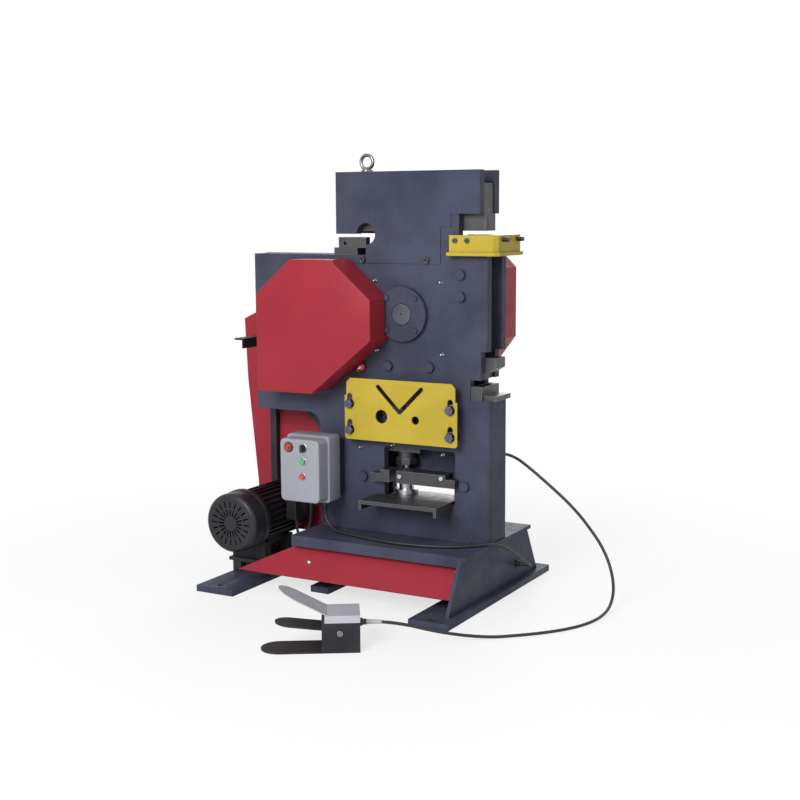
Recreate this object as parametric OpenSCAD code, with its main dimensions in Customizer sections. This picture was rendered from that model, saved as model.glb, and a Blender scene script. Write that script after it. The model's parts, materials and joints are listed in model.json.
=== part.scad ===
// Mechanical ironworker: one ram slides between two frame plates and serves a bar shear,
// a notcher, a section shear, a coping jaw and a punch. A motor drives a flywheel by belts,
// and two gear stages turn the bull gear that the clutch couples to the eccentric shaft.
// Millimetres. X runs right, Y to the rear, Z up. The origin is the centre of the four
// anchor holes, on the floor.

/* [Frame plates] */
// Thickness of each frame plate
plate_t = 30; // [26:1:34]
// Clear gap between the frame plates
plate_gap = 80; // [72:1:90]
// Left edge of the column
column_left = -187; // [-200:1:-180]
// Right edge of the column plates
column_right = 405; // [400:1:415]
// Depth of the bent channel that closes the column
column_end_d = 60; // [50:1:80]
// Wall of the bent channel
column_end_t = 20; // [12:1:24]
// Left end of the drive arm on the front plate
arm_left = -450; // [-470:1:-445]
// How far the rear arm reaches past the front arm
rear_arm_extra = 28; // [10:1:40]
// Underside of the drive arm
arm_bottom = 596; // [580:1:610]
// Top of the drive arm
arm_top = 1144; // [1138:1:1150]
// Fillet between column and arm
arm_fillet = 50; // [30:1:60]
// Underside of the head cheeks
neck_z = 1117; // [1110:1:1125]
// Left end of the head
head_left = -111; // [-125:1:-108]
// Right end of the head
head_right = 428; // [428:1:445]
// Top of the head
head_top = 1420; // [1415:1:1440]
// How far the head cheeks stand proud of the plates
cheek_proud = 3; // [1:0.5:6]

/* [Ram] */
// Left face of the ram neck
ram_left = 45; // [40:1:46]
// Right face of the ram neck
ram_right = 288; // [284:1:290]
// Full stroke of the ram
stroke = 26; // [20:1:26]
// Side clearance of the ram in its guides
ram_clear = 0.5; // [0.3:0.1:1]
// Height of the upper bar of the ram
ram_bar_top = 1378; // [1370:1:1380]

/* [Drive] */
// Eccentric shaft axis, from the origin to the right
ecc_x = 147; // [144:1:150]
// Eccentric shaft axis above the floor
ecc_z = 950; // [946:1:954]
// Radius of the main journals
journal_r = 40; // [36:0.5:42]
// Radius of the eccentric
ecc_r = 54; // [53.5:0.5:55]
// Module of the slow gear pair
slow_m = 8; // [8:0.1:8.2]
// Teeth on the bull gear
bull_teeth = 56; // [54:1:57]
// Teeth on the slow pinion
slow_pinion_teeth = 16; // [15:1:17]
// Module of the fast gear pair
fast_m = 5; // [4.9:0.1:5.1]
// Teeth on the intermediate gear
mid_teeth = 66; // [64:1:67]
// Teeth on the fast pinion
fast_pinion_teeth = 14; // [13:1:15]
// Radius of the flywheel
flywheel_r = 168; // [150:1:170]
// Width of the flywheel rim
flywheel_w = 54; // [50:1:56]
// Radius of the motor pulley
motor_pulley_r = 50; // [45:1:60]

/* [Motor] */
// Motor axis, from the origin to the right
motor_x = -420; // [-425:1:-415]
// Motor axis above the floor
motor_z = 220; // [216:1:230]
// Radius over the cooling fins
motor_r = 100; // [94:1:104]
// Number of cooling fins
fin_count = 30; // [20:1:36]

/* [Base] */
// Thickness of the floor feet
foot_t = 22; // [18:1:26]
// Half the length of the outer feet
foot_half = 405; // [395:1:420]
// Half the anchor hole spacing along X
anchor_x = 410; // [400:1:420]
// Distance from an anchor hole to the end of its foot
anchor_edge = 35; // [25:1:45]
// Diameter of the anchor holes
anchor_d = 22; // [18:1:26]
// Top of the base deck, where the column stands
deck_z = 199; // [195:1:205]
// Thickness of the base deck
deck_t = 12; // [8:1:16]

/* [Guards] */
// Sheet thickness of the gear and belt covers
sheet_t = 3; // [2:0.5:4]
// Depth of the front gear cover
front_cover_d = 125; // [118:1:135]
// Thickness of the yellow section guard
guard_t = 6; // [4:1:8]
// Stand-off of the section guard from the front plate
guard_gap = 44; // [35:1:50]

/* [Punch] */
// Radius of the punch
punch_r = 11; // [6:0.5:14]
// Clearance between punch and die, per side
die_clear = 0.4; // [0.3:0.1:1]
// Thickness of the punch table
table_t = 12; // [8:1:16]

/* [Controls] */
// Width of the control box
box_w = 169; // [150:1:175]
// Height of the control box
box_h = 230; // [215:1:240]
// Depth of the control box case
case_d = 65; // [55:1:80]
// Depth of the control box lid
lid_d = 58; // [45:1:65]
// Radius of the push buttons
button_r = 10; // [8:0.5:12]

/* [Pedal] */
// Width of the foot pedal
pedal_w = 115; // [100:1:130]
// Length of the foot pedal base
pedal_len = 296; // [270:1:320]
// Height of the pedal housing
pedal_h = 112; // [100:1:120]
// Diameter of the control cables
cord_d = 10; // [8:0.5:12]

/* [Hidden] */
$fn = 64;

// Colours
steel_blue = "#3c3f52";
dark_steel = "#2f3034";
guard_red = "#a82434";
bright_steel = "#b9bcc2";
safety_yellow = "#d9b820";
box_grey = "#a9b0b8";
motor_black = "#1d1e21";
cable_black = "#18181a";

// Clearances
run_fit = 0.05;
seat_gap = 0.3;

// Planes of the frame
inner_y = plate_gap / 2;
face_y = inner_y + plate_t;
cheek_y = face_y + cheek_proud;

// Points of the plate outline
column_top = 674;
column_end_right = column_right + column_end_d;
jaw_x = 394;
jaw_floor = 742;
jaw_step_x = 432;
jaw_roof = 836;
notch_right = 455;
notch_seat = 1150;
tongue_left = 324;
tongue_right = 352;
cheek_step_x = 286;
cheek_step_z = 1239;
head_floor = 1280;
head_foot_left = -45;
throat_x = 5;
throat_z = arm_top + 70;
throat_r = 36;

// Section shear
sect = [48, 264, 572, 722];
sect_v = [156, 625];
sect_v_arm = 119;
sect_v_w = 15;
sect_round = [87, 607, 23];
sect_bar = [216, 603, 14];
blade_t = 26;

// Punch station
punch_x = 118;
window_front = [69, 339, 318, 498];
window_rear = [40, 281, 315, 376];
window_r = 10;
die_top = 363;
punch_tip = die_top + stroke - 4;

// Ram heights
ram_tail = 478;
ram_tail_right = 190;
ram_waist = 560;
ram_bar_bottom = 1223;
ram_bar_left = -104;
ram_bar_right = 424;
jaw_arm = [763, 813];
jaw_arm_right = 468;
ram_y = inner_y - ram_clear;
blade_h = 35;

// Eccentric and its window in the ram
throw = stroke / 2;
bush_t = 8;
bush_r = ecc_r + bush_t;
ecc_slack = 3.5;
bearing_r = 52;
flange_r = 91;
flange_t = 18;
spigot_r = journal_r - 6;
gear_seat_r = journal_r - 2;

// Gear train, axes in the XZ plane
gear_add = 0.8;
gear_ded = 1.1;
gear_press = 25;
gear_lash = 0.06;
slow_dir = 188;
fast_dir = 225;
slow_c = slow_m * (bull_teeth + slow_pinion_teeth) / 2;
fast_c = fast_m * (mid_teeth + fast_pinion_teeth) / 2;
ecc_at = [ecc_x, ecc_z];
mid_at = ecc_at + slow_c * [cos(slow_dir), sin(slow_dir)];
fly_at = mid_at + fast_c * [cos(fast_dir), sin(fast_dir)];
motor_at = [motor_x, motor_z];
bull_gap = 76;
bull_w = 48;
mid_gap = 38;
mid_w = 40;
flywheel_gap = 10;
bull_y = [face_y + bull_gap, face_y + bull_gap + bull_w];
mid_gear_y = [-face_y - mid_gap - mid_w, -face_y - mid_gap];
flywheel_y = [face_y + flywheel_gap, face_y + flywheel_gap + flywheel_w];
mid_journal_r = 25;
mid_neck_r = 17.5;
fly_journal_r = 22;
bearing_wall = 13;
motor_shaft_r = 14;

// Belts
belt_w = 13;
belt_depth = 10;
belt_clear = 0.6;
belt_rows = [flywheel_y[0] + flywheel_w * 0.3, flywheel_y[0] + flywheel_w * 0.7];

// Covers, corner points in the XZ plane
front_cover = [[-362, 678], [-142, 678], [89, 867], [89, 1001], [-60, 1130], [-224, 1130], [-362, 1011]];
belt_cover = [[-600, 900], [-590, 680], [-552, 300], [-545, 130], [-262, 130], [-85, 640], [-85, 821],
    [-243, 979], [-430, 979]];
rear_cover = [[-225, 830], [-100, 720], [-60, 692], [300, 692], [432, 866], [432, 1100], [340, 1192],
    [-40, 1192], [-225, 1010]];
rear_cover_split = -82;
belt_cover_y = [face_y, flywheel_y[1] + 7];
rear_cover_y = [belt_cover_y[1] + 1, bull_y[1] + 13];

// Motor
motor_y = [-215, 43];
motor_core_r = motor_r - 12;
fin_lowest = 0.6;
fan_cover_r = motor_r + 4;
fan_cover_y = -292;
edge_room = 24;
motor_foot_z = motor_z - motor_r;
rail_z = 72;

// Base
anchor_y = foot_half - anchor_edge;
rail_y = [108, 120];
rail_right = 443;
end_plate_t = 12;
sill_y = 229;
sill_t = 30;
sill_h = 24;
deck_left = -190;
deck_right = column_end_right + 5;
deck_y = sill_y + sill_t;
panel_foot = [301, 66];
panel_t = 4;
left_foot = [-486, -335];
mid_foot = [-135, -63];
right_foot = [341, 480];
mid_foot_half = 228;

// Control box
box_left = -250;
box_bottom = 305;
box_back = -face_y - 45;
case_front = box_back - case_d;
lid_front = case_front - 2 - lid_d;
lid_inset = 7;
lamp_at = [-207, 499];
knob_at = [-148, 499];
start_at = [-150, 454];
stop_at = [-152, 402];
gland_x = [-180, -125];
gland_y = box_back - 30;

// Pedal
pedal_at = [343, -700, 0];
pedal_turn = 32;
pedal_wall = 3;
pedal_box = 114;
pivot = [-60, 60];
pivot_r = 5;
cord_exit = [57, 77];

// Cable glands
rear_gland = [430, 475];
end_gland = [168, 80];
motor_gland = [17, -50, -15];

// Cable routes
pedal_route = [
    [323, -645, 77], [360, -622, 76], [400, -595, 70], [440, -567, 60], [480, -537, 46], [520, -505, 33],
    [560, -468, 21], [600, -431, 12], [640, -393, 6], [680, -356, 5], [720, -318, 5], [756, -278, 5],
    [788, -235, 5], [815, -188, 5], [834, -138, 5], [846, -86, 6], [850, -34, 8], [850, 16, 16],
    [845, 62, 34], [835, 100, 62], [818, 128, 100], [795, 145, 145], [766, 153, 190], [732, 156, 232],
    [694, 156, 275], [650, 156, 316], [602, 156, 354], [554, 156, 390], [508, 155, 423], [471, 149, 449],
    [447, 133, 464], [434, 109, 472], [430, 82, 475]
];
supply_route = [
    [-125, -145, 295], [-124, -145, 268], [-116, -148, 241], [-98, -153, 220], [-74, -160, 208],
    [-46, -168, 205], [-10, -178, 205], [30, -188, 205], [70, -197, 205], [110, -205, 205],
    [150, -210, 205], [190, -212, 205], [230, -210, 205], [270, -205, 205], [310, -197, 205],
    [350, -184, 205], [386, -166, 205], [420, -141, 205], [448, -111, 205], [470, -80, 205],
    [487, -52, 198], [500, -24, 185], [509, 6, 167], [516, 38, 146], [522, 70, 124], [527, 98, 107],
    [527, 123, 95], [518, 144, 87], [503, 159, 83], [483, 167, 81], [462, 168, 80]
];
motor_route = [
    [-180, -145, 295], [-180, -145, 276], [-182, -144, 255], [-187, -139, 233], [-196, -132, 213],
    [-207, -124, 197], [-219, -115, 181], [-231, -105, 164], [-244, -95, 147], [-260, -83, 136],
    [-278, -70, 136], [-293, -59, 147], [-302, -52, 168], [-303, -50, 195]
];

// Boxes, slabs and discs that the modules share
module block(x, y, z) {
    translate([x[0], y[0], z[0]])
        cube([x[1] - x[0], y[1] - y[0], z[1] - z[0]]);
}

module slab(y) {
    translate([0, y[1], 0])
        rotate([90, 0, 0])
            linear_extrude(y[1] - y[0])
                children();
}

module disc(at, r, y) {
    slab(y)
        translate(at)
            circle(r);
}

module both_sides() {
    children();
    mirror([0, 1, 0])
        children();
}

module round_rect(x, z, r) {
    translate([x[0] + r, z[0]])
        square([x[1] - x[0] - 2 * r, z[1] - z[0]]);
    translate([x[0], z[0] + r])
        square([x[1] - x[0], z[1] - z[0] - 2 * r]);
    for (cx = [x[0] + r, x[1] - r], cz = [z[0] + r, z[1] - r])
        translate([cx, cz])
            circle(r);
}

module hex_head(at, y, across, h) {
    slab([y - h, y])
        translate(at)
            circle(d = across * 2 / sqrt(3), $fn = 6);
}

module cap_head(at, y, r, h) {
    difference() {
        disc(at, r, [y - h, y]);
        hex_head(at, y - h / 2, r, h);
    }
}

// Corner points moved inwards by d, for a convex outline listed anticlockwise
function left_of(v) = [-v[1], v[0]] / norm(v);
function inset(p, d) = [
    for (i = [0 : len(p) - 1])
        let (a = left_of(p[i] - p[(i + len(p) - 1) % len(p)]))
        let (b = left_of(p[(i + 1) % len(p)] - p[i]))
        p[i] + d * (a + b) / (1 + a * b)
];

// Involute gear outline with a tooth on the X axis
function roll_angle(r, base) = r <= base ? 0 : sqrt(r * r - base * base) / base * 180 / PI - acos(base / r);
function gear_points(m, z) =
    let (pitch = m * z / 2)
    let (base = pitch * cos(gear_press))
    let (root = pitch - gear_ded * m)
    let (tip = pitch + gear_add * m)
    let (start = max(root + 0.1, base))
    let (half = 90 / z - gear_lash * m / pitch * 90 / PI + roll_angle(pitch, base))
    let (radii = concat([root], [for (i = [0 : 4]) start + (tip - start) * i / 4]))
    [
        for (k = [0 : z - 1], side = [-1, 1], i = [0 : 5])
            let (r = radii[side < 0 ? i : 5 - i])
            let (a = 360 * k / z + side * (half - roll_angle(r, base)))
            r * [cos(a), sin(a)]
    ];

module gear(m, z, at, turn) {
    translate(at)
        rotate(turn)
            polygon(gear_points(m, z));
}

// Outline of a belt laid round two pulleys
belt_facet = 6;
function arc_points(c, r, a1, a2) =
    let (steps = ceil(abs(a2 - a1) / belt_facet))
    [for (i = [0 : steps]) c + r * [cos(a1 + (a2 - a1) * i / steps), sin(a1 + (a2 - a1) * i / steps)]];
module wrap(c1, r1, c2, r2) {
    d = c2 - c1;
    along = atan2(d[1], d[0]);
    lean = acos((r1 - r2) / norm(d));
    polygon(concat(
        arc_points(c1, r1, along + lean, along + 360 - lean),
        arc_points(c2, r2, along - lean, along + lean)
    ));
}

// Round tube swept along a route's points
function heading(p, i) = p[min(i + 1, len(p) - 1)] - p[max(i - 1, 0)];
module tube(p, d) {
    sides = 8;
    n = len(p);
    points = [
        for (i = [0 : n - 1], k = [0 : sides - 1])
            let (t = heading(p, i) / norm(heading(p, i)))
            let (u = cross(t, [0.4, 0.1, 0.9]))
            let (v = cross(t, u / norm(u)))
            p[i] + d / 2 * (cos(360 * k / sides) * u / norm(u) + sin(360 * k / sides) * v)
    ];
    walls = [
        for (i = [0 : n - 2], k = [0 : sides - 1])
            let (j = (k + 1) % sides)
            each [
                [i * sides + k, (i + 1) * sides + j, i * sides + j],
                [i * sides + k, (i + 1) * sides + k, (i + 1) * sides + j]
            ]
    ];
    near_end = [for (k = [1 : sides - 2]) [0, k, k + 1]];
    far_end = [for (k = [1 : sides - 2]) [(n - 1) * sides, (n - 1) * sides + k + 1, (n - 1) * sides + k]];
    polyhedron(points, concat(walls, near_end, far_end));
}

// Frame
module plate_outline(left, tongue) {
    head_side = tongue
        ? [
            [tongue_right, notch_seat], [tongue_right, head_floor], [tongue_left, head_floor],
            [tongue_left, cheek_step_z], [cheek_step_x, cheek_step_z]
        ]
        : [[cheek_step_x, notch_seat]];
    polygon(concat(
        [
            [column_left, deck_z], [column_right, deck_z], [column_right, column_top], [jaw_x, column_top],
            [jaw_x, jaw_floor], [jaw_step_x, jaw_floor], [jaw_step_x, jaw_roof], [notch_right, jaw_roof],
            [notch_right, notch_seat]
        ],
        head_side,
        [
            [cheek_step_x, neck_z], [head_foot_left, neck_z], [head_foot_left, arm_top], [left, arm_top],
            [left, arm_bottom], [column_left, arm_bottom]
        ]
    ));
}

module shaft_holes() {
    translate(ecc_at)
        circle(bearing_r);
    translate(mid_at)
        circle(mid_journal_r + bearing_wall);
    translate(fly_at)
        circle(fly_journal_r + bearing_wall);
}

module front_plate() {
    color(steel_blue)
        slab([-face_y, -inner_y])
            difference() {
                union() {
                    plate_outline(arm_left, true);
                    difference() {
                        translate([column_left - arm_fillet, arm_bottom - arm_fillet])
                            square(arm_fillet);
                        translate([column_left - arm_fillet, arm_bottom - arm_fillet])
                            circle(arm_fillet);
                    }
                }
                shaft_holes();
                round_rect([window_front[0], window_front[1]], [window_front[2], window_front[3]], window_r);
                round_rect([sect[0], sect[1]], [sect[2], sect[3]], window_r);
            }
}

module rear_plate() {
    gusset = 150;
    color(steel_blue)
        slab([inner_y, face_y])
            difference() {
                union() {
                    plate_outline(arm_left - rear_arm_extra, false);
                    polygon([
                        [column_left, arm_bottom], [column_left - gusset, arm_bottom],
                        [column_left, arm_bottom - gusset]
                    ]);
                }
                shaft_holes();
                round_rect([window_rear[0], window_rear[1]], [window_rear[2], window_rear[3]], window_r);
                round_rect([sect[0], sect[1]], [sect[2], sect[3]], window_r);
            }
}

module column_end() {
    bend_r = 20;
    color(steel_blue)
        translate([0, 0, deck_z])
            linear_extrude(column_top - deck_z)
                difference() {
                    round_rect([column_right - bend_r, column_end_right], [-face_y, face_y], bend_r);
                    translate([column_right - 2 * bend_r, -face_y])
                        square([2 * bend_r, 2 * face_y]);
                    translate([column_right, column_end_t - face_y])
                        square([column_end_d - column_end_t, 2 * (face_y - column_end_t)]);
                }
}

module frame_spacers() {
    strip = 12;
    across = [-inner_y, inner_y];
    color(steel_blue) {
        block([arm_left, -125], across, [arm_top - strip, arm_top]);
        block([arm_left, arm_left + strip], across, [arm_bottom, arm_top]);
        block([arm_left, column_left], across, [arm_bottom, arm_bottom + strip]);
        block([column_left, column_left + strip], across, [deck_z, arm_bottom + strip]);
    }
}

module head_cheeks() {
    color(steel_blue)
        both_sides()
            slab([-cheek_y, -inner_y])
                difference() {
                    polygon([
                        [head_left, head_top], [head_left, throat_z], [throat_x, throat_z],
                        [throat_x, arm_top], [head_foot_left, arm_top], [head_foot_left, neck_z],
                        [cheek_step_x, neck_z], [cheek_step_x, cheek_step_z], [tongue_left, cheek_step_z],
                        [tongue_left, head_floor], [head_right, head_floor], [head_right, head_top]
                    ]);
                    translate([throat_x, throat_z])
                        circle(throat_r);
                }
}

eye_x = -30;
spacer_x = [-90, 30];
spacer_bottom = ram_bar_top + 6;
module head_spacer() {
    color(steel_blue)
        difference() {
            block(spacer_x, [-inner_y, inner_y], [spacer_bottom, head_top]);
            translate([eye_x, 0, spacer_bottom + 6])
                cylinder(h = head_top, r = eye_shank_r + run_fit);
        }
}

eye_r = 23;
eye_wire = 6;
eye_shank_r = 10;
module lifting_eye() {
    collar_h = 8;
    color(bright_steel) {
        translate([eye_x, 0, spacer_bottom + 8])
            cylinder(h = head_top - spacer_bottom, r = eye_shank_r);
        translate([eye_x, 0, head_top])
            cylinder(h = collar_h, r = 20);
        translate([eye_x, 0, head_top + collar_h + eye_r + eye_wire - 3])
            rotate([90, 0, 0])
                rotate_extrude()
                    translate([eye_r, 0])
                        circle(eye_wire);
    }
}

module ram_guides() {
    guide_w = 60;
    left = [ram_left - ram_clear - guide_w, ram_left - ram_clear];
    right = [ram_right + ram_clear, ram_right + ram_clear + guide_w];
    across = [-inner_y, inner_y];
    color(dark_steel) {
        block(left, across, [760, neck_z - 12]);
        block(left, across, [500, 740]);
        block(right, across, [jaw_arm[1] + 27, neck_z - 12]);
        block(right, across, [500, jaw_arm[0] - stroke - 7]);
    }
}

module ring_pair(at, outer, inner) {
    both_sides()
        slab([-face_y, -inner_y])
            translate(at)
                difference() {
                    circle(outer);
                    circle(inner);
                }
}

module bearing_bushes() {
    color("#a07a3c") {
        ring_pair(ecc_at, bearing_r, journal_r + run_fit);
        ring_pair(mid_at, mid_journal_r + bearing_wall, mid_journal_r + run_fit);
        ring_pair(fly_at, fly_journal_r + bearing_wall, fly_journal_r + run_fit);
    }
}

module bearing_flange() {
    ring_gap = 2.5;
    color(steel_blue)
        slab([-face_y - flange_t, -face_y])
            translate(ecc_at)
                difference() {
                    circle(flange_r);
                    circle(spigot_r + ring_gap);
                }
}

module frame_bolts() {
    plate_bolts = [[361, 1084], [361, 1012], [89, 774], [246, 776], [-11, 388], [376, 387]];
    flange_bolt_r = flange_r - 16;
    color(steel_blue) {
        for (at = plate_bolts)
            hex_head(at, -face_y, 30, 12);
        for (a = [45 : 90 : 315])
            hex_head(ecc_at + flange_bolt_r * [cos(a), sin(a)], -face_y - flange_t, 16, 6);
    }
}

// Base
module foot(x, half) {
    block(x, [-half, half], [0, foot_t]);
}

module base_feet() {
    color(steel_blue) {
        difference() {
            union() {
                foot(left_foot, foot_half);
                foot(right_foot, foot_half);
            }
            for (x = [-anchor_x, anchor_x], y = [-anchor_y, anchor_y])
                translate([x, y, -1])
                    cylinder(h = foot_t + 2, d = anchor_d);
        }
        foot(mid_foot, mid_foot_half);
    }
}

module base_frame() {
    deck_bottom = deck_z - deck_t;
    color(steel_blue) {
        both_sides() {
            slab([-rail_y[1], -rail_y[0]])
                polygon([
                    [left_foot[0], foot_t], [rail_right, foot_t], [rail_right, deck_bottom],
                    [deck_left, deck_bottom], [-345, 60], [left_foot[0], 60]
                ]);
            block([deck_left, rail_right], [-deck_y, -sill_y], [deck_bottom - sill_h, deck_bottom]);
        }
        block([deck_left, deck_right], [-deck_y, deck_y], [deck_bottom, deck_z]);
        translate([rail_right, 0, 0])
            rotate([90, 0, 90])
                linear_extrude(end_plate_t)
                    polygon([[-349, foot_t], [349, foot_t], [deck_y, deck_bottom], [-deck_y, deck_bottom]]);
    }
}

// Leaning skirt panels, flat sheets that follow the slope from the sill to the feet
module base_panels() {
    top = [sill_y, deck_z - deck_t - sill_h];
    slope = panel_foot - top;
    length = norm(slope);
    lean = atan2(-slope[1], slope[0]);
    color(guard_red)
        both_sides()
            translate([0, -top[0], top[1]])
                rotate([lean, 0, 0])
                    translate([0, -length, -panel_t])
                        linear_extrude(panel_t)
                            polygon([[-386, 0], [rail_right, 0], [rail_right, length], [-177, length]]);
}

// Motor
module motor_base() {
    plate_x = [-500, -352];
    plate_y = [-195, 40];
    color(dark_steel) {
        block(plate_x, plate_y, [rail_z - 12, rail_z]);
        block([-486, -452], [-191, -160], [foot_t, rail_z - 12]);
        for (y = [-160, -20])
            block([plate_x[0] + 4, plate_x[1] - 4], [y - 17, y + 17], [rail_z, motor_foot_z]);
    }
}

module motor_housing() {
    fin_t = 3.5;
    fin_root = 4;
    flange_y = 13;
    foot_h = 16;
    lug_half = 16;
    foot_rows = [-160, -20];
    saddle_half = 55;
    color(motor_black)
        difference() {
            union() {
                disc(motor_at, motor_core_r, motor_y);
                disc(motor_at, motor_r - 2, [motor_y[1] - flange_y, motor_y[1]]);
                disc(motor_at, fan_cover_r + 3, [motor_y[0], motor_y[0] + flange_y]);
                for (i = [0 : fin_count - 1])
                    if (sin(360 * i / fin_count) < fin_lowest)
                        translate([motor_x, 0, motor_z])
                            rotate([0, 360 * i / fin_count, 0])
                                block(
                                    [motor_core_r - fin_root, motor_r - 3],
                                    [motor_y[0] + 5, motor_y[1] - 5],
                                    [-fin_t / 2, fin_t / 2]
                                );
                for (y = foot_rows)
                    block(
                        [motor_x - 80, motor_x + 66],
                        [y - lug_half, y + lug_half],
                        [motor_foot_z, motor_foot_z + foot_h]
                    );
                block(
                    [motor_x - saddle_half, motor_x + saddle_half],
                    [foot_rows[0] - 5, foot_rows[1] + 5],
                    [motor_foot_z, motor_z - 60]
                );
            }
            disc(motor_at, motor_shaft_r + run_fit, [motor_y[0] - 1, motor_y[1] + 1]);
        }
}

module motor_fan_cover() {
    wall = 2.5;
    edge = 16;
    depth = motor_y[0] - fan_cover_y;
    slots = 20;
    color(motor_black)
        difference() {
            translate([motor_x, motor_y[0], motor_z])
                rotate([90, 0, 0])
                    rotate_extrude()
                        difference() {
                            union() {
                                square([fan_cover_r - edge, depth]);
                                square([fan_cover_r, depth - edge]);
                                translate([fan_cover_r - edge, depth - edge])
                                    circle(edge);
                                square([fan_cover_r + 3, 5]);
                            }
                            translate([0, -1])
                                square([fan_cover_r - wall, depth - edge + 1]);
                            translate([0, -1])
                                square([fan_cover_r - edge, depth - wall + 1]);
                            translate([-fan_cover_r, -depth])
                                square([fan_cover_r, 3 * depth]);
                        }
            for (i = [0 : slots - 1], reach = [[26, 50], [56, 78]])
                translate([motor_x, 0, motor_z])
                    rotate([0, 360 * i / slots, 0])
                        block(reach, [fan_cover_y - 1, fan_cover_y + wall + 1], [-2.5, 2.5]);
        }
}

module terminal_box() {
    out = motor_x + motor_r;
    color(motor_black) {
        block([out - 3, out + 35], [-90, -10], [motor_z - 15, motor_z + 65]);
        block([out + 35, out + 41], [-94, -6], [motor_z - 19, motor_z + 69]);
    }
}

module frame_brackets() {
    leg_x = [arm_left - rear_arm_extra, arm_left];
    color(dark_steel) {
        block([leg_x[0] + 2, leg_x[1]], [inner_y + 4, face_y - 2], [foot_t, arm_bottom]);
        block([arm_left - 38, arm_left], [-150, 10], [844, 850]);
        block([arm_left - 6, arm_left], [-150, 10], [815, 844]);
        block([-175, -90], [box_back, -face_y], [330, 510]);
    }
}

// Guards
module gear_cover_front() {
    color(guard_red)
        difference() {
            slab([-face_y - front_cover_d, -face_y])
                polygon(front_cover);
            slab([-face_y - front_cover_d + sheet_t, -face_y + 1])
                polygon(inset(front_cover, sheet_t));
            disc(ecc_at, flange_r + 1.5, [-face_y - flange_t - 8, -face_y + 1]);
        }
}

module belt_guard() {
    color(guard_red)
        difference() {
            slab(belt_cover_y)
                polygon(belt_cover);
            slab([belt_cover_y[0] + sheet_t, belt_cover_y[1] - sheet_t])
                polygon(inset(belt_cover, sheet_t));
            disc(motor_at, motor_shaft_r + 8, [belt_cover_y[0] - 1, belt_cover_y[0] + sheet_t + 1]);
            disc(fly_at, fly_journal_r + 8, [belt_cover_y[0] - 1, belt_cover_y[0] + sheet_t + 1]);
        }
}

module gear_cover_rear() {
    right_part = [
        [rear_cover_split, 692], [300, 692], [432, 866], [432, 1100], [340, 1192], [rear_cover_split, 1192]
    ];
    step_y = [face_y, rear_cover_y[0] + sheet_t];
    color(guard_red)
        difference() {
            union() {
                slab(rear_cover_y)
                    polygon(rear_cover);
                slab(step_y)
                    intersection() {
                        polygon(rear_cover);
                        polygon(right_part);
                    }
            }
            slab([rear_cover_y[0] + sheet_t, rear_cover_y[1] - sheet_t])
                polygon(inset(rear_cover, sheet_t));
            slab([step_y[0] - 1, step_y[1] + 1])
                intersection() {
                    polygon(inset(rear_cover, sheet_t));
                    polygon(inset(right_part, sheet_t));
                }
            disc(mid_at, mid_neck_r + 2, [rear_cover_y[0] - 1, rear_cover_y[0] + sheet_t + 1]);
            block([-60, cheek_step_x + 14], [face_y - 1, cheek_y + 0.5], [neck_z - 7, 1300]);
            block([tongue_left - 12, 520], [face_y - 10, tray_y + tray_lip + 1], [tray_z[0] - 4, 1300]);
        }
}

// Controls
module control_case() {
    wall = 4;
    color(box_grey)
        difference() {
            slab([case_front, box_back])
                round_rect([box_left, box_left + box_w], [box_bottom, box_bottom + box_h], 12);
            slab([case_front - 1, box_back - wall])
                round_rect([box_left + wall, box_left + box_w - wall],
                    [box_bottom + wall, box_bottom + box_h - wall], 9);
            for (x = gland_x)
                translate([x, gland_y, box_bottom - 1])
                    cylinder(h = wall + 2, r = cord_d / 2 + 3);
        }
}

lid_x = [box_left + lid_inset, box_left + box_w - lid_inset];
lid_z = [box_bottom + lid_inset, box_bottom + box_h - lid_inset];
module control_lid() {
    wall = 4;
    color(box_grey)
        difference() {
            union() {
                slab([lid_front, case_front - 2])
                    round_rect(lid_x, lid_z, 18);
                slab([case_front - 2, case_front])
                    round_rect([box_left, box_left + box_w], [box_bottom, box_bottom + box_h], 12);
            }
            slab([lid_front + wall, case_front + 1])
                round_rect([lid_x[0] + wall, lid_x[1] - wall], [lid_z[0] + wall, lid_z[1] - wall], 14);
            for (at = [start_at, stop_at])
                disc(at, button_stem_r + run_fit, [lid_front - 1, lid_front + wall + 1]);
            disc(knob_at, 6 + run_fit, [lid_front - 1, lid_front + wall + 1]);
        }
}

module indicator_lamp() {
    color("#c02020") {
        disc(lamp_at, 14, [lid_front - 5, lid_front]);
        translate([lamp_at[0], lid_front - 5, lamp_at[1]])
            rotate([90, 0, 0])
                cylinder(h = 7, r1 = 11, r2 = 7);
    }
}

button_travel = 4;
button_stem_r = button_r - 2;
module push_button(at) {
    disc(at, button_r, [lid_front - button_travel - 6, lid_front - button_travel - seat_gap]);
    disc(at, button_stem_r, [lid_front - button_travel - 1, lid_front + 8]);
}

module start_button() {
    color("#2f9a48")
        push_button(start_at);
}

module stop_button() {
    color("#c3262e")
        push_button(stop_at);
}

module selector_knob() {
    color("#202022") {
        disc(knob_at, 13, [lid_front - 6, lid_front - seat_gap]);
        block([knob_at[0] - 4, knob_at[0] + 4], [lid_front - 18, lid_front - 5],
            [knob_at[1] - 13, knob_at[1] + 13]);
        disc(knob_at, 6, [lid_front - 1, lid_front + 10]);
    }
}

// Section shear
module section_cut(slack) {
    for (a = [45, 135])
        translate(sect_v)
            rotate(a) {
                translate([-sect_v_w / 2 * tan(22.5), -sect_v_w / 2 - slack])
                    square([sect_v_arm, sect_v_w + 2 * slack]);
                translate([sect_v_arm - sect_v_w / 2 * tan(22.5), 0])
                    circle(sect_v_w / 2 + slack);
            }
    translate([sect_round[0], sect_round[1]])
        circle(sect_round[2] + slack);
    translate([sect_bar[0], sect_bar[1]])
        circle(sect_bar[2] + slack);
}

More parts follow.
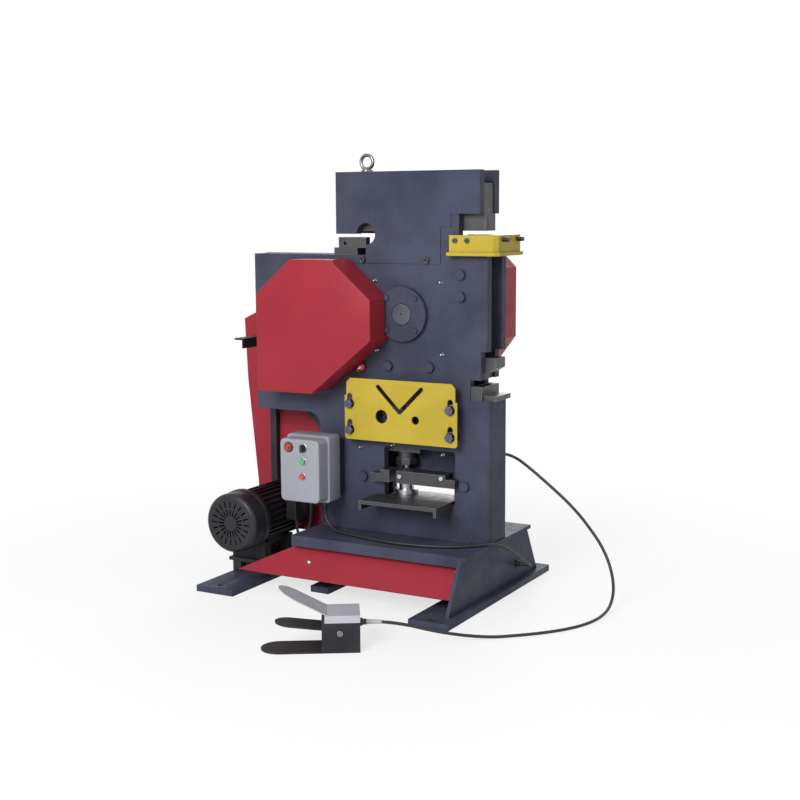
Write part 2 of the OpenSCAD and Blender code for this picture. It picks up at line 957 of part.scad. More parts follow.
module section_blade() {
    color(dark_steel)
        slab([-face_y, -face_y + blade_t])
            difference() {
                round_rect([sect[0], sect[1]], [sect[2], sect[3]], window_r);
                section_cut(0);
            }
}

guard_x = [-56, 370];
guard_z = [522, 732];
guard_bolt_at = [[-36, 644], [-36, 555], [345, 645], [345, 555]];
guard_back = -face_y - guard_gap;
module guard_plate() {
    step = 7;
    step_z = 672;
    keyhole_r = 17;
    slot_w = 20;
    slot_up = 26;
    color(safety_yellow)
        slab([guard_back - guard_t, guard_back])
            difference() {
                polygon([
                    [guard_x[0], guard_z[0] + 6], [guard_x[0] + 6, guard_z[0]], [guard_x[1] - 6, guard_z[0]],
                    [guard_x[1], guard_z[0] + 6], [guard_x[1], step_z], [guard_x[1] - step, step_z],
                    [guard_x[1] - step, guard_z[1] - 14], [guard_x[1] - step - 14, guard_z[1]],
                    [guard_x[0] + step + 14, guard_z[1]], [guard_x[0] + step, guard_z[1] - 14],
                    [guard_x[0] + step, step_z], [guard_x[0], step_z]
                ]);
                section_cut(0);
                for (at = guard_bolt_at) {
                    translate(at)
                        circle(keyhole_r);
                    translate(at + [-slot_w / 2, 0])
                        square([slot_w, slot_up]);
                    translate(at + [0, slot_up])
                        circle(slot_w / 2);
                }
            }
}

module guard_bolts() {
    head_y = guard_back - guard_t - 2;
    color(bright_steel)
        for (at = guard_bolt_at) {
            disc(at, 7, [head_y - 2, -face_y]);
            disc(at, 19, [guard_back, guard_back + 4]);
            hex_head(at, head_y, 26, 12);
            hex_head(at, -face_y, 24, 12);
        }
}

// Bar shear, notcher and coping jaw
module bar_blade_lower() {
    base_x = [-121, -31];
    base_h = 24;
    base_top = arm_top + base_h;
    blade_x = [-103, throat_x - 2];
    blade_gap = 11;
    screw_at = [-78, base_top + 14];
    color(dark_steel) {
        block(base_x, [-face_y, face_y], [arm_top, base_top]);
        difference() {
            block(blade_x, [-face_y, -inner_y - 1], [base_top, throat_z - blade_gap]);
            disc(screw_at, 7, [-face_y - 1, -inner_y]);
        }
    }
}

notch_x = [350, 431];
notch_half = 38;
tray_x = [330, 500];
tray_y = 97;
tray_z = [1146, 1212];
tray_lip = 7;
notch_tip = 1225;
module notcher_die() {
    die_clearance = 0.6;
    slot_half = notch_half + die_clearance;
    color(dark_steel)
        difference() {
            block([tongue_right + 1, notch_right], [-face_y, face_y], [notch_seat, tray_z[1] - 6]);
            block(
                [tongue_right, notch_x[1] + die_clearance],
                [-slot_half, slot_half],
                [notch_seat - 1, tray_z[1]]
            );
        }
}

// Plan of the tray with cut corners, grown by a margin
module tray_plan(margin) {
    corner = 14;
    right = tray_x[1] + margin;
    side = tray_y + margin;
    polygon([
        [tray_x[0] - margin, -side], [right - corner, -side], [right, corner - side],
        [right, side - corner], [right - corner, side], [tray_x[0] - margin, side]
    ]);
}

module notcher_tray() {
    wall = 8;
    top_t = 6;
    lip_h = 11;
    well_half = notch_half + 3;
    color(safety_yellow)
        difference() {
            union() {
                translate([0, 0, tray_z[0]])
                    linear_extrude(tray_z[1] - tray_z[0])
                        tray_plan(0);
                translate([0, 0, tray_z[0]])
                    linear_extrude(lip_h)
                        tray_plan(tray_lip);
            }
            translate([0, 0, tray_z[0] - 1])
                linear_extrude(tray_z[1] - tray_z[0] - top_t + 1)
                    intersection() {
                        tray_plan(-wall);
                        translate([tongue_left, -tray_y])
                            square([2 * tray_y, 2 * tray_y]);
                    }
            block(
                [tray_x[0] - 2 * tray_lip, tray_x[0] + wall + 1],
                [wall - tray_y, tray_y - wall],
                [tray_z[0] - 1, tray_z[1] - top_t]
            );
            block([tray_x[0] - 1, notch_x[1] + 1], [-well_half, well_half], [tray_z[0], tray_z[1] + 1]);
            block(
                [tray_x[0] - 1, tongue_right + 1],
                [-cheek_y - 1, -inner_y + 1],
                [tray_z[0], tray_z[1] + 1]
            );
        }
}

// Black cap screws of the tray and the head, and the tray's stop rods
module cap_screws() {
    tray_rows = [352, 395];
    head_bolts = [[-6, neck_z + 12], [235, neck_z + 12]];
    rod_rows = [-55, 55];
    rod_h = 24;
    color(cable_black) {
        for (x = tray_rows)
            cap_head([x, tray_z[1] - 17], -tray_y, 8, 8);
        for (at = head_bolts)
            cap_head(at, -cheek_y, 11, 10);
        for (y = rod_rows)
            translate([tray_x[1], y, tray_z[1] - 14])
                rotate([0, 90, 0])
                    cylinder(h = rod_h, r = 7);
    }
}

module notcher_punch() {
    color(dark_steel)
        block(notch_x, [-notch_half, notch_half], [notch_tip, head_floor]);
}

coping_x = [402, 424];
coping_half = 34;
coping_tip = 742;
coping_fit = 0.6;
module coping_die() {
    top = 720;
    die_x = [jaw_x + 1, 434];
    rest_x = [die_x[1] - 1, column_end_right + 14];
    rest_t = 16;
    color(dark_steel)
        difference() {
            union() {
                block(die_x, [-face_y + 4, face_y - 4], [column_top, top]);
                block(rest_x, [-face_y + 16, face_y - 10], [column_top, column_top + rest_t]);
            }
            block(
                [coping_x[0] - coping_fit, coping_x[1] + coping_fit],
                [-coping_half - coping_fit, coping_half + coping_fit],
                [column_top + 14, top + 1]
            );
        }
}

module coping_blade() {
    color(dark_steel)
        block(coping_x, [-coping_half, coping_half], [coping_tip, jaw_arm[0]]);
}

// Ram
module ram() {
    color(dark_steel)
        slab([-ram_y, ram_y])
            difference() {
                polygon([
                    [ram_left, ram_tail], [ram_tail_right, ram_tail], [ram_tail_right, ram_waist],
                    [ram_right, ram_waist], [ram_right, jaw_arm[0]], [jaw_arm_right - 28, jaw_arm[0]],
                    [jaw_arm_right, jaw_arm[0] + 17], [jaw_arm_right, jaw_arm[1]], [ram_right, jaw_arm[1]],
                    [ram_right, head_floor], [ram_bar_right, head_floor], [ram_bar_right, ram_bar_top],
                    [ram_bar_left, ram_bar_top], [ram_bar_left, ram_bar_bottom + blade_h],
                    [ram_left, ram_bar_bottom + blade_h]
                ]);
                translate(ecc_at + [-bush_r - throw - ecc_slack, throw - bush_r - ecc_slack])
                    square([2 * (bush_r + throw + ecc_slack), 2 * (bush_r + ecc_slack)]);
                section_cut(0.5);
            }
}

module bar_blade_upper() {
    color(bright_steel)
        block([ram_bar_left, ram_left], [-ram_y, ram_y], [ram_bar_bottom, ram_bar_bottom + blade_h]);
}

holder_r = 30;
holder_h = 46;
module punch_holder() {
    color(dark_steel)
        translate([punch_x, 0, ram_tail - holder_h])
            difference() {
                union() {
                    cylinder(h = holder_h, r = holder_r);
                    cylinder(h = 20, r = holder_r + 6, $fn = 8);
                }
                translate([0, 0, -1])
                    cylinder(h = 21, r = punch_r + 4);
            }
}

module punch() {
    color(bright_steel) {
        translate([punch_x, 0, punch_tip])
            cylinder(h = ram_tail - holder_h - punch_tip, r = punch_r);
        translate([punch_x, 0, ram_tail - holder_h])
            cylinder(h = 20, r = punch_r + 4);
    }
}

// Punch station
table_x = [window_front[0] + window_r + seat_gap, window_front[1] - window_r - seat_gap];
apron_x = [36, table_x[1]];
table_y = [-190, inner_y - 1];
module punch_table() {
    skirt = 32;
    skirt_t = 10;
    top = window_front[2] + table_t;
    color(dark_steel)
        difference() {
            union() {
                block(table_x, table_y, [window_front[2], top]);
                block(apron_x, [table_y[0], -face_y], [window_front[2], top]);
                for (x = [apron_x[0], apron_x[1] - skirt_t])
                    block([x, x + skirt_t], [table_y[0], -face_y], [top - skirt, top]);
            }
            translate([punch_x, 0, 0])
                cylinder(h = top + 1, r = punch_r + 6);
        }
}

module punch_die() {
    seat = window_front[2] + table_t;
    color(bright_steel)
        translate([punch_x, 0, seat])
            difference() {
                union() {
                    cylinder(h = 14, r = 40);
                    cylinder(h = die_top - seat, r = 26);
                }
                translate([0, 0, -1])
                    cylinder(h = die_top, r = punch_r + die_clear);
            }
}

// Slotted block over the die, held on the front plate by its two ears
module stripper() {
    z = [die_top + 18, die_top + 60];
    plate_h = 12;
    body_x = [window_front[0] + 2, 316];
    inner_x = [window_front[0] + 6, 250];
    ear_x = [33, 351];
    ear_h = 28;
    slot_half = punch_r + 3;
    front_y = -face_y - 30;
    color(dark_steel)
        difference() {
            union() {
                block(inner_x, [-inner_y, inner_y - 1], [z[0], z[0] + plate_h]);
                block(body_x, [front_y, -inner_y + 1], z);
                block(ear_x, [front_y, -face_y], [z[0], z[0] + ear_h]);
            }
            block([punch_x - slot_half, punch_x + slot_half], [front_y - 1, 0], [z[0] - 1, z[1] + 1]);
            translate([punch_x, 0, 0])
                cylinder(h = z[1] + 1, r = slot_half);
        }
}

// Eccentric shaft
module eccentric_shaft() {
    color(bright_steel)
        difference() {
            union() {
                disc(ecc_at, spigot_r, [-face_y - flange_t, -face_y]);
                disc(ecc_at, journal_r, [-face_y, -inner_y + 2]);
                disc(ecc_at + [0, throw], ecc_r, [-inner_y + 2, inner_y - 2]);
                disc(ecc_at, journal_r, [inner_y - 2, face_y + 40]);
                disc(ecc_at, gear_seat_r, [face_y + 40, bull_y[1] + 6]);
                disc(ecc_at, gear_seat_r + 30, [bull_y[0] - 34, bull_y[0] - 6]);
                for (a = [90 : 120 : 330])
                    disc(ecc_at + 54 * [cos(a), sin(a)], 9, [bull_y[0] - 6, bull_y[0] - 1]);
            }
            disc(ecc_at, 5, [-face_y - flange_t - 1, -face_y - flange_t + 6]);
        }
}

module eccentric_bush() {
    color("#a07a3c")
        slab([-inner_y + 3, inner_y - 3])
            translate(ecc_at + [0, throw])
                difference() {
                    circle(bush_r);
                    circle(ecc_r);
                }
}

// Gears
module bull_gear() {
    rim = slow_m * bull_teeth / 2 - 3 * slow_m;
    hub = gear_seat_r + 32;
    pocket = 14;
    color(dark_steel)
        difference() {
            slab(bull_y)
                difference() {
                    gear(slow_m, bull_teeth, ecc_at, slow_dir + 180 / bull_teeth);
                    translate(ecc_at)
                        circle(gear_seat_r + run_fit);
                    for (a = [0 : 60 : 300])
                        translate(ecc_at + (rim + hub) / 2 * [cos(a), sin(a)])
                            circle((rim - hub) / 3.5);
                }
            for (y = [[bull_y[0] - 1, bull_y[0] + pocket], [bull_y[1] - pocket, bull_y[1] + 1]])
                slab(y)
                    translate(ecc_at)
                        difference() {
                            circle(rim);
                            circle(hub);
                        }
        }
}

module intermediate_shaft() {
    rim = fast_m * mid_teeth / 2 - 3 * fast_m;
    hub = mid_journal_r + 22;
    web = [mid_gear_y[0] + 14, mid_gear_y[1] - 14];
    color(dark_steel) {
        difference() {
            slab(mid_gear_y)
                gear(fast_m, mid_teeth, mid_at, fast_dir + 180 / mid_teeth);
            for (y = [[mid_gear_y[0] - 1, web[0]], [web[1], mid_gear_y[1] + 1]])
                slab(y)
                    translate(mid_at)
                        difference() {
                            circle(rim);
                            circle(hub);
                        }
            for (a = [0 : 60 : 300])
                disc(mid_at + (rim + hub) / 2 * [cos(a), sin(a)], 24, [web[0] - 1, web[1] + 1]);
        }
        disc(mid_at, mid_journal_r, [mid_gear_y[0] - 6, face_y]);
        disc(mid_at, mid_neck_r, [face_y, bull_y[0]]);
        slab(bull_y)
            gear(slow_m, slow_pinion_teeth, mid_at, slow_dir - 180);
    }
}

module flywheel() {
    rim = flywheel_r - 34;
    hub = fly_journal_r + 24;
    web_y = [flywheel_y[0] + 16, flywheel_y[1] - 16];
    color(dark_steel) {
        difference() {
            disc(fly_at, flywheel_r, flywheel_y);
            for (y = [[flywheel_y[0] - 1, web_y[0]], [web_y[1], flywheel_y[1] + 1]])
                slab(y)
                    translate(fly_at)
                        difference() {
                            circle(rim);
                            circle(hub);
                        }
            for (a = [0 : 60 : 300])
                disc(fly_at + (rim + hub) / 2 * [cos(a), sin(a)], 28, [web_y[0] - 1, web_y[1] + 1]);
            belt_grooves(fly_at, flywheel_r);
        }
        disc(fly_at, fly_journal_r, [mid_gear_y[0] - 2, flywheel_y[1] + 2]);
        slab([mid_gear_y[0] - 2, mid_gear_y[1] + 2])
            gear(fast_m, fast_pinion_teeth, fly_at, fast_dir - 180);
    }
}

module belt_grooves(at, r) {
    for (y = belt_rows)
        slab([y - belt_w / 2 - belt_clear, y + belt_w / 2 + belt_clear])
            translate(at)
                difference() {
                    circle(r + 1);
                    circle(r - belt_depth - belt_clear);
                }
}

module drive_belts() {
    color(cable_black)
        for (y = belt_rows)
            slab([y - belt_w / 2, y + belt_w / 2])
                difference() {
                    wrap(fly_at, flywheel_r + 1, motor_at, motor_pulley_r + 1);
                    wrap(fly_at, flywheel_r - belt_depth, motor_at, motor_pulley_r - belt_depth);
                }
}

module motor_rotor() {
    blades = 8;
    fan_y = [fan_cover_y + 20, motor_y[0] - 16];
    color(motor_black) {
        difference() {
            disc(motor_at, motor_pulley_r, [belt_rows[0] - 12, belt_rows[1] + 12]);
            belt_grooves(motor_at, motor_pulley_r);
        }
        disc(motor_at, motor_shaft_r, [fan_cover_y + 12, belt_rows[1] + 14]);
        disc(motor_at, 24, fan_y);
        for (i = [0 : blades - 1])
            translate([motor_x, 0, motor_z])
                rotate([0, 360 * i / blades, 0])
                    block([10, fan_cover_r - edge_room], fan_y, [-2, 2]);
    }
}

// Cables and glands
gland_h = 18;
gland_room = 0.8;
module gland(r) {
    difference() {
        union() {
            cylinder(h = gland_h, r = r);
            cylinder(h = 8, r = r + 4, $fn = 6);
        }
        translate([0, 0, -1])
            cylinder(h = gland_h + 2, d = cord_d + 2 * gland_room);
    }
}

module cable_glands() {
    r = cord_d / 2 + 4;
    color(cable_black) {
        for (x = gland_x)
            translate([x, gland_y, box_bottom])
                rotate([180, 0, 0])
                    gland(r);
        translate([rear_gland[0], face_y, rear_gland[1]])
            rotate([-90, 0, 0])
                gland(r);
        translate([rail_right + end_plate_t, end_gland[0], end_gland[1]])
            rotate([0, 90, 0])
                gland(r);
        translate([motor_x + motor_r + motor_gland[0], motor_gland[1], motor_z + motor_gland[2]])
            rotate([180, 0, 0])
                gland(r);
        pedal_frame()
            translate([0, cord_exit[0], cord_exit[1]])
                rotate([0, 90, 0])
                    gland(r);
    }
}

module pedal_cord() {
    color(cable_black)
        tube(pedal_route, cord_d);
}

module supply_cord() {
    color(cable_black)
        tube(supply_route, cord_d);
}

module motor_lead() {
    color(cable_black)
        tube(motor_route, cord_d);
}

// Foot pedal, drawn along its own axis with the rear corner at its origin
module pedal_frame() {
    translate(pedal_at)
        rotate(pedal_turn)
            children();
}

module tongue(length, margin) {
    r = pedal_w / 2 - margin;
    translate([r - length, margin])
        square([length - r, 2 * r]);
    translate([r - length, pedal_w / 2])
        circle(r);
}

module pedal_base() {
    color(dark_steel)
        pedal_frame()
            difference() {
                union() {
                    linear_extrude(4)
                        tongue(pedal_len, 0);
                    for (y = [[0, pedal_wall], [pedal_w - pedal_wall, pedal_w]])
                        block([-pedal_box, 0], y, [0, pedal_h]);
                    block([-pedal_wall, 0], [0, pedal_w], [0, pedal_h]);
                }
                translate([pivot[0], -1, pivot[1]])
                    rotate([-90, 0, 0])
                        cylinder(h = pedal_w + 2, r = pivot_r + run_fit);
                translate([-pedal_wall - 1, cord_exit[0], cord_exit[1]])
                    rotate([0, 90, 0])
                        cylinder(h = pedal_wall + 2, d = cord_d);
            }
}

module pedal_profile(points) {
    translate([0, pedal_w, 0])
        rotate([90, 0, 0])
            linear_extrude(pedal_w)
                polygon(points);
}

module pedal_cover() {
    t = 3;
    skirt = 20;
    bend_x = -97;
    tip = [-240, 187];
    color(bright_steel)
        pedal_frame() {
            intersection() {
                pedal_profile([
                    [0, pedal_h], [0, pedal_h + t], [bend_x, pedal_h + t], [tip[0], tip[1] + t], tip,
                    [bend_x, pedal_h]
                ]);
                linear_extrude(tip[1] + 2 * t)
                    tongue(-tip[0], 0);
            }
            for (y = [-t, pedal_w])
                block([bend_x - 8, 0], [y, y + t], [pedal_h - skirt, pedal_h + t]);
        }
}

module pedal_pin() {
    color(bright_steel)
        pedal_frame()
            translate([pivot[0], -4, pivot[1]])
                rotate([-90, 0, 0]) {
                    cylinder(h = pedal_w + 8, r = pivot_r);
                    cylinder(h = 4, r = pivot_r + 4);
                    translate([0, 0, pedal_w + 4])
                        cylinder(h = 4, r = pivot_r + 4);
                }
}

module pedal_treadle() {
    t = 4;
    margin = 12;
    color(dark_steel)
        pedal_frame()
            difference() {
                union() {
                    intersection() {
                        pedal_profile([
                            [-30, pivot[1]], [-30, pivot[1] + t], [-115, pivot[1] + t + 6],
                            [-253, pivot[1] + t + 22], [-253, pivot[1] + 22], [-115, pivot[1] + 6]
                        ]);
                        linear_extrude(pedal_h)
                            tongue(253, margin);
                    }
                    translate([pivot[0], margin, pivot[1]])
                        rotate([-90, 0, 0])
                            cylinder(h = pedal_w - 2 * margin, r = pivot_r + 5);
                }
                translate([pivot[0], 0, pivot[1]])
                    rotate([-90, 0, 0])
                        cylinder(h = pedal_w, r = pivot_r + run_fit);
            }
}

front_plate();
rear_plate();
column_end();
frame_spacers();
head_cheeks();
head_spacer();
lifting_eye();
ram_guides();
bearing_bushes();
bearing_flange();
frame_bolts();
base_feet();
base_frame();
base_panels();
motor_base();
motor_housing();
motor_fan_cover();
terminal_box();
frame_brackets();
gear_cover_front();
belt_guard();
gear_cover_rear();
control_case();
control_lid();
indicator_lamp();
guard_plate();
guard_bolts();
section_blade();
bar_blade_lower();
notcher_die();
notcher_tray();
cap_screws();
coping_die();
punch_table();
punch_die();
stripper();
drive_belts();
cable_glands();
pedal_base();
pedal_cover();
pedal_pin();
pedal_cord();
supply_cord();
motor_lead();
ram();
bar_blade_upper();
notcher_punch();
coping_blade();
punch_holder();
punch();
eccentric_shaft();
eccentric_bush();
bull_gear();
intermediate_shaft();
flywheel();
motor_rotor();
selector_knob();
start_button();
stop_button();
pedal_treadle();
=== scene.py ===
import json
import math

import bmesh
import bpy
from mathutils import Matrix, Vector

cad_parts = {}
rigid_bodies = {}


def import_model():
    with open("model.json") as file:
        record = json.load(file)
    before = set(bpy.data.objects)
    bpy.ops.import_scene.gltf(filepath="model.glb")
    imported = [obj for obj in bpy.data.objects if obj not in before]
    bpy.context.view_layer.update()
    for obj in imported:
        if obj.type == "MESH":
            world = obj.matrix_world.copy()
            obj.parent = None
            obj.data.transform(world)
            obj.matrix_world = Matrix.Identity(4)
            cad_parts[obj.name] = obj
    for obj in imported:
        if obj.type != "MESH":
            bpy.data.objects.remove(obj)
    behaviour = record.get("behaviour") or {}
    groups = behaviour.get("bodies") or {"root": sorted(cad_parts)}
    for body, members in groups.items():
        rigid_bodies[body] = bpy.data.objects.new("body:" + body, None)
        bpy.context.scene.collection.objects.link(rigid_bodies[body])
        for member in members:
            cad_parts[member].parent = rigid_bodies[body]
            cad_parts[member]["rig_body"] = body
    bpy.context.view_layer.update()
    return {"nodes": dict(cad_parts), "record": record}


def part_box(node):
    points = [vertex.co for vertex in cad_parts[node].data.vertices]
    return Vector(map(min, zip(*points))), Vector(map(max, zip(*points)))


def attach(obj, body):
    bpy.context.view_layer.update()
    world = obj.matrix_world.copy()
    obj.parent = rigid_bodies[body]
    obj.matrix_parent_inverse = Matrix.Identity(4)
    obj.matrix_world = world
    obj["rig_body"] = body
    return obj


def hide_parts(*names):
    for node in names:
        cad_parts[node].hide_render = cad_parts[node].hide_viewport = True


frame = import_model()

NODES = frame["nodes"]
SLOT_OF = {row["node"]: row["material_slot"] for row in frame["record"]["subparts"]}
MM = 0.001


def mm(*xyz):
    """A point in metres from millimetres."""
    return Vector(xyz) * MM


def span(node):
    """The lowest and highest corner of a node's box, in millimetres."""
    low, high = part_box(node)
    return low / MM, high / MM


def link(name, data):
    """Adds an object to the scene."""
    made = bpy.data.objects.new(name, data)
    bpy.context.scene.collection.objects.link(made)
    return made


def place(name, mesh, body, slot, material=None):
    """Links a mesh as a piece that rides on a body."""
    piece = link(name, mesh)
    mesh.materials.append(material or FINISH[slot])
    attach(piece, body)
    return piece


# Camera, set from the photograph's viewing angle; sensor and lens in millimetres
CAMERA_AT = mm(2303.7, -3988.9, 1297.8)
YAW, PITCH, ROLL = (math.radians(a) for a in (29.0, 8.1, -0.3))
SENSOR_W, LENS = 36, 60.55
FARTHEST_SEEN = 100


def make_camera():
    level = math.cos(PITCH)
    back = Vector((math.sin(YAW) * level, -math.cos(YAW) * level, math.sin(PITCH)))
    right = Vector((math.cos(YAW), math.sin(YAW), 0))
    up = back.cross(right)
    x_axis = right * math.cos(ROLL) + up * math.sin(ROLL)
    y_axis = up * math.cos(ROLL) - right * math.sin(ROLL)
    data = bpy.data.cameras.new("camera")
    data.sensor_width = SENSOR_W
    data.sensor_fit = "HORIZONTAL"
    data.lens = LENS
    data.clip_end = FARTHEST_SEEN
    camera = link("camera", data)
    pose = Matrix((x_axis, y_axis, back)).transposed().to_4x4()
    pose.translation = CAMERA_AT
    camera.matrix_world = pose
    bpy.context.scene.camera = camera


make_camera()


# Materials
EDGE_SAMPLES, NORMAL_SAMPLES = 6, 4
FLAT_DOT, EDGE_DOT = 0.99, 0.86
OPEN_PLACE, DEEP_PLACE = 0.85, 0.2
MIX_INPUTS, MIX_RESULT = (0, 6, 7), 2


class Net:
    """A material's nodes, with object coordinates in metres."""

    def __init__(self, name):
        self.material = bpy.data.materials.new(name)
        self.material.use_nodes = True
        self.tree = self.material.node_tree
        self.shader = self.tree.nodes["Principled BSDF"]
        self.coord = self.add("TexCoord").outputs["Object"]

    def add(self, kind, settings=None, **inputs):
        """Adds a node; an underscore in an input's name stands for a space."""
        node = self.tree.nodes.new("ShaderNode" + kind)
        for key, value in (settings or {}).items():
            setattr(node, key, value)
        for key, value in inputs.items():
            self.feed(node, key.replace("_", " "), value)
        return node

    def feed(self, node, key, value):
        """Sets an input, or links it where the value is another node's output."""
        socket = node.inputs[key]
        if isinstance(value, bpy.types.NodeSocket):
            self.tree.links.new(value, socket)
        else:
            socket.default_value = value

    def product(self, a, b):
        node = self.add("Math", {"operation": "MULTIPLY"})
        self.feed(node, 0, a)
        self.feed(node, 1, b)
        return node.outputs[0]

    def spread(self, value, low, high, to_low=0.0, to_high=1.0):
        """Maps one range on to another with soft ends."""
        node = self.add(
            "MapRange", {"interpolation_type": "SMOOTHSTEP"}, Value=value,
            From_Min=low, From_Max=high, To_Min=to_low, To_Max=to_high,
        )
        return node.outputs["Result"]

    def noise(self, scale, detail, stretch=None, roughness=0.55):
        where = self.coord
        if stretch:
            where = self.add("Mapping", Vector=where, Scale=stretch).outputs["Vector"]
        node = self.add("TexNoise", Vector=where, Scale=scale, Detail=detail, Roughness=roughness)
        return node.outputs["Fac"]

    def mix(self, factor, a, b):
        """Blends two colours."""
        node = self.add("Mix", {"data_type": "RGBA"})
        for index, value in zip(MIX_INPUTS, (factor, a, b)):
            self.feed(node, index, value)
        return node.outputs[MIX_RESULT]

    def edges(self, radius):
        """Near 1 along a sharp edge, and 0 on a flat."""
        rounded = self.add("Bevel", {"samples": EDGE_SAMPLES}, Radius=radius).outputs["Normal"]
        flat = self.add("NewGeometry").outputs["Normal"]
        agreement = self.add("VectorMath", {"operation": "DOT_PRODUCT"})
        self.feed(agreement, 0, rounded)
        self.feed(agreement, 1, flat)
        return self.spread(agreement.outputs["Value"], FLAT_DOT, EDGE_DOT)

    def crevice_shade(self, distance):
        """Painted shade mask from ambient occlusion: near 1 in a corner or under a ledge."""
        found = self.add("AmbientOcclusion", {"samples": EDGE_SAMPLES}, Distance=distance).outputs["AO"]
        return self.spread(found, OPEN_PLACE, DEEP_PLACE)

    def bump(self, height, strength, distance, radius):
        """Raises a pattern on the surface and softens its edges."""
        soft = self.add("Bevel", {"samples": NORMAL_SAMPLES}, Radius=radius).outputs["Normal"]
        node = self.add("Bump", Height=height, Strength=strength, Distance=distance, Normal=soft)
        self.feed(self.shader, "Normal", node.outputs["Normal"])

    def shade(self, **values):
        """Feeds the shader's own sockets."""
        for key, value in values.items():
            self.feed(self.shader, key.replace("_", " "), value)
        return self.material


def rgb(r, g, b):
    return (r, g, b, 1.0)


def tint(colour, gain, lift=0.0):
    """A paler or deeper copy of a colour."""
    return rgb(*(min(1.0, c * gain + lift) for c in colour))


WHITE = rgb(1, 1, 1)
# Colour of the painted shade in the corners, patchy like soiling
GRIME_AND_SHADE = rgb(0.012, 0.011, 0.011)
RUST = rgb(0.09, 0.04, 0.02)
RUBBED_STEEL = rgb(0.55, 0.56, 0.58)


def enamel(name, colour, worn_and_highlit, roughness, mottle, peel=0.12, wear_and_highlight=0.55, grime_and_shade=0.35, gloss=0.14):
    """Sprayed enamel: mottled colour, orange peel, chipped edges that are partly painted highlight, and
    painted shade in the corners, patchy like soiling.
    """
    net = Net(name)
    clouds = net.spread(net.noise(5.0, 5.0), 0.3, 0.7)
    base = net.mix(clouds, tint(colour, 1 - mottle), tint(colour, 1 + mottle, mottle * 0.02))
    streaks = net.noise(9.0, 8.0, stretch=(1.0, 1.0, 9.0), roughness=0.7)
    scuffs = net.spread(streaks, 0.62, 0.78, 0.0, 0.35)
    base = net.mix(scuffs, base, tint(colour, 1 + 2 * mottle, mottle * 0.06))
    # Painted shade: ambient occlusion darkens the corners and the places under ledges, in patches like
    # soiling
    patches = net.spread(net.noise(14.0, 6.0), 0.25, 0.75, 0.3, 1.0)
    dirt_and_shade = net.product(net.crevice_shade(0.03), patches)
    base = net.mix(net.product(dirt_and_shade, grime_and_shade), base, GRIME_AND_SHADE)
    # Chipped edges: the paint's own scuffing, and where the edge colour is paler, also a painted highlight
    # along the edges
    chips = net.spread(net.noise(70.0, 6.0, roughness=0.65), 0.5, 0.66)
    rubbed_and_highlit = net.product(net.product(net.edges(0.0022), chips), wear_and_highlight)
    base = net.mix(rubbed_and_highlit, base, rgb(*worn_and_highlit))
    net.bump(net.noise(420.0, 2.0), peel, distance=0.0004, radius=0.0015)
    rough = net.spread(net.noise(26.0, 5.0), 0.2, 0.8, roughness - 0.07, roughness + 0.1)
    return net.shade(
        Base_Color=base, Roughness=rough, Specular_IOR_Level=gloss,
        Coat_Weight=0.04, Coat_Roughness=0.2,
    )


def steel(name, colour, roughness, grain=(1.0, 1.0, 40.0), oil=0.3, metallic=1.0, rust=0.0):
    """Machined steel: cutter lines, patchy oil and bright rubbed edges."""
    net = Net(name)
    lines = net.noise(160.0, 3.0, stretch=grain)
    base = net.mix(net.spread(lines, 0.3, 0.7), tint(colour, 0.78), tint(colour, 1.18))
    oiled = net.spread(net.noise(18.0, 6.0), 0.45, 0.75, 0.0, oil)
    base = net.mix(oiled, base, tint(colour, 0.4))
    if rust:
        spots = net.spread(net.noise(55.0, 8.0, roughness=0.7), 0.6, 0.7, 0.0, rust)
        base = net.mix(spots, base, RUST)
    base = net.mix(net.product(net.edges(0.0015), 0.6), base, RUBBED_STEEL)
    net.bump(lines, 0.12, distance=0.0002, radius=0.0008)
    rough = net.spread(net.noise(40.0, 5.0), 0.2, 0.8, roughness - 0.08, roughness + 0.12)
    return net.shade(Base_Color=base, Roughness=rough, Metallic=metallic)


def moulded(name, colour, roughness, grain=700.0, coat=0.0, strength=0.15):
    """Moulded plastic or rubber with a fine grain and a little dust."""
    net = Net(name)
    pale = tint(colour, 1.3, 0.03)
    dust = net.spread(net.noise(30.0, 7.0), 0.45, 0.8, 0.0, 0.22)
    base = net.mix(dust, rgb(*colour), pale)
    base = net.mix(net.product(net.edges(0.0012), 0.35), base, pale)
    net.bump(net.noise(grain, 2.0), strength, distance=0.0003, radius=0.0008)
    rough = net.spread(net.noise(60.0, 4.0), 0.2, 0.8, roughness - 0.06, roughness + 0.1)
    return net.shade(Base_Color=base, Roughness=rough, Coat_Weight=coat)


